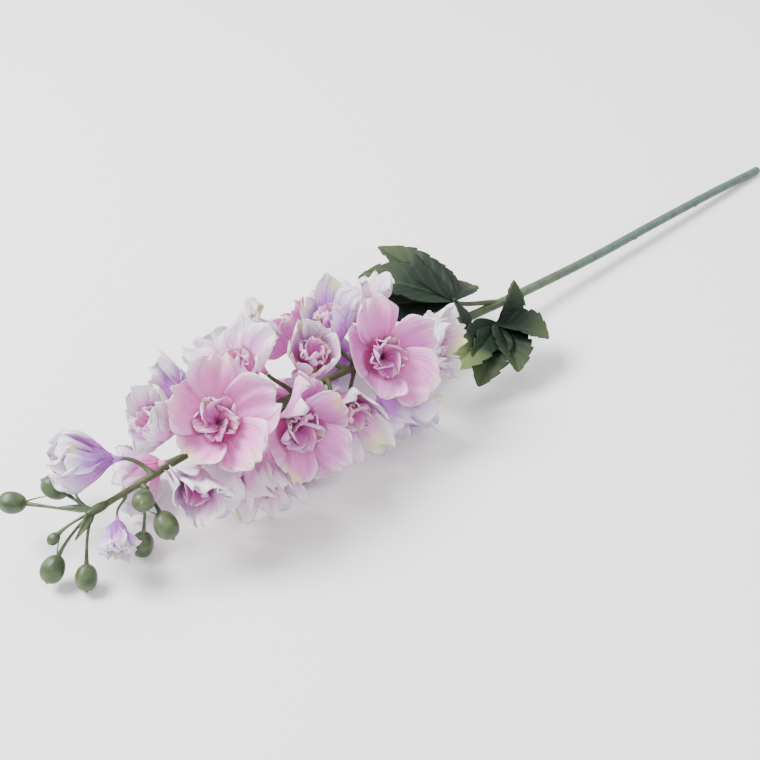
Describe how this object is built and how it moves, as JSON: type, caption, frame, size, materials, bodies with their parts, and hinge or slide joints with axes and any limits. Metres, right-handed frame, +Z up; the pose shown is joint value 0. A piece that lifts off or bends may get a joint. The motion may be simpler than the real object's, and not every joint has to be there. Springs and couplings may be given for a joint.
{
  "type": "artificial larkspur spray",
  "caption": "Silk larkspur spray lying down: wired plastic stem, palmate leaves, a dense spike of double florets and green buds at the tip.",
  "frame": {"origin": "on the table under the middle of the spray's box", "axes": "+Z up, +X along the stem from the flower tip towards the cut end"},
  "size_m": [0.6526, 0.1338, 0.0998],
  "materials": {
    "petal_fabric_pale": "matte woven polyester, pale pink fading to white",
    "petal_fabric_pink": "matte woven polyester, pink fading to white",
    "petal_fabric_lilac": "matte woven polyester, lilac fading to white",
    "throat_fabric": "matte woven polyester, deep pink",
    "leaf_fabric": "matte coated fabric, dark green",
    "stem_plastic": "moulded, matt grey green",
    "bud_plastic": "moulded, satin olive green",
    "stem_wire": "drawn steel wire"
  },
  "bodies": {
    "root": {"stem": "stem_plastic", "stem_wire": "stem_wire", "leaf_1": "leaf_fabric", "leaf_2": "leaf_fabric", "bud_spray_tip": "bud_plastic", "bud_spray_side": "bud_plastic", "floret_01_outer": "petal_fabric_lilac", "floret_01_inner": "throat_fabric", "floret_02_outer": "petal_fabric_lilac", "floret_02_inner": "throat_fabric", "floret_03_outer": "petal_fabric_pale", "floret_03_inner": "throat_fabric", "floret_04_outer": "petal_fabric_pink", "floret_04_inner": "throat_fabric", "floret_05_outer": "petal_fabric_pale", "floret_05_inner": "throat_fabric", "floret_06_outer": "petal_fabric_pale", "floret_06_inner": "throat_fabric", "floret_07_outer": "petal_fabric_pale", "floret_07_inner": "throat_fabric", "floret_08_outer": "petal_fabric_lilac", "floret_08_inner": "throat_fabric", "floret_09_outer": "petal_fabric_pink", "floret_09_inner": "throat_fabric", "floret_10_outer": "petal_fabric_pink", "floret_10_inner": "throat_fabric", "floret_11_outer": "petal_fabric_pale", "floret_11_inner": "throat_fabric", "floret_12_outer": "petal_fabric_lilac", "floret_12_inner": "throat_fabric", "floret_13_outer": "petal_fabric_pale", "floret_13_inner": "throat_fabric", "floret_14_outer": "petal_fabric_pale", "floret_14_inner": "throat_fabric", "floret_15_outer": "petal_fabric_lilac", "floret_15_inner": "throat_fabric", "floret_16_outer": "petal_fabric_pale", "floret_16_inner": "throat_fabric", "floret_17_outer": "petal_fabric_pink", "floret_17_inner": "throat_fabric", "floret_18_outer": "petal_fabric_pale", "floret_18_inner": "throat_fabric", "floret_19_outer": "petal_fabric_pale", "floret_19_inner": "throat_fabric", "floret_20_outer": "petal_fabric_pale", "floret_20_inner": "throat_fabric", "floret_21_outer": "petal_fabric_lilac", "floret_21_inner": "throat_fabric", "floret_22_outer": "petal_fabric_pale", "floret_22_inner": "throat_fabric", "floret_23_outer": "petal_fabric_pink", "floret_23_inner": "throat_fabric", "floret_24_outer": "petal_fabric_pale", "floret_24_inner": "throat_fabric"}
  },
  "joints": []
}
